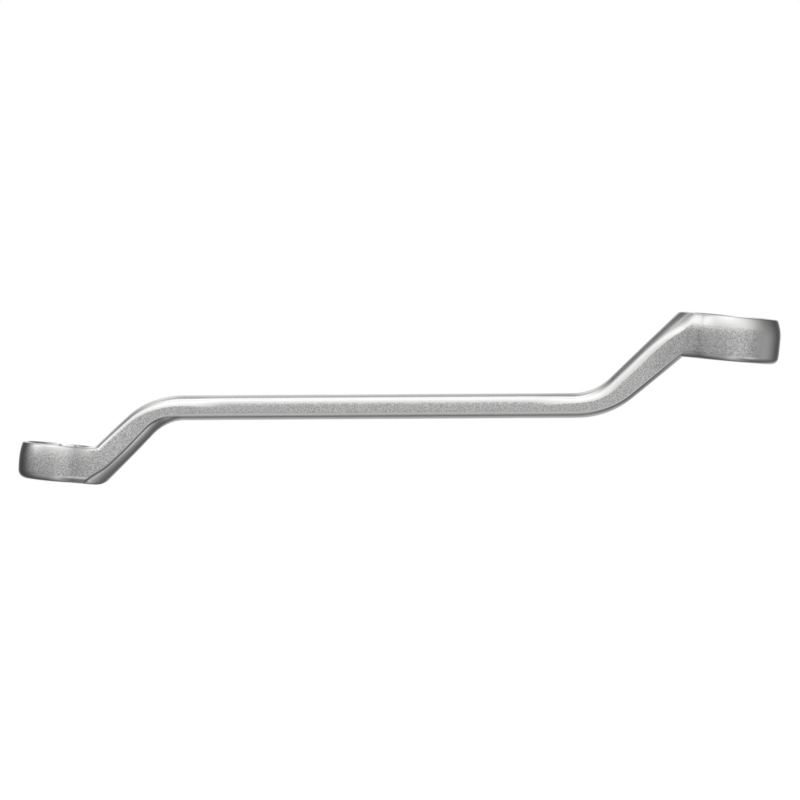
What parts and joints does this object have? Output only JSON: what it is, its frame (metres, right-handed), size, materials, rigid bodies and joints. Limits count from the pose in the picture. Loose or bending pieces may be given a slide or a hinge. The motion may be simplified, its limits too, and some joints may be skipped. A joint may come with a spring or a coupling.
{
  "type": "double-ended offset ring spanner",
  "caption": "Forged offset ring spanner with a smaller and a larger ring head carried on cranked legs, for turning hexagon nuts and bolts.",
  "frame": {"origin": "centre of the small ring's lower face, on the ring's axis", "axes": "+Z along both ring axes, out of the rings' upper faces; +X from the small ring towards the large ring; the tool is symmetric about the XZ plane"},
  "size_m": [0.3387, 0.0444, 0.101],
  "materials": {
    "satin_chrome": "satin chrome plate over a drop forging, with a fine grain on the flanks"
  },
  "bodies": {
    "root": {"forged_spanner": "satin_chrome"}
  },
  "joints": []
}
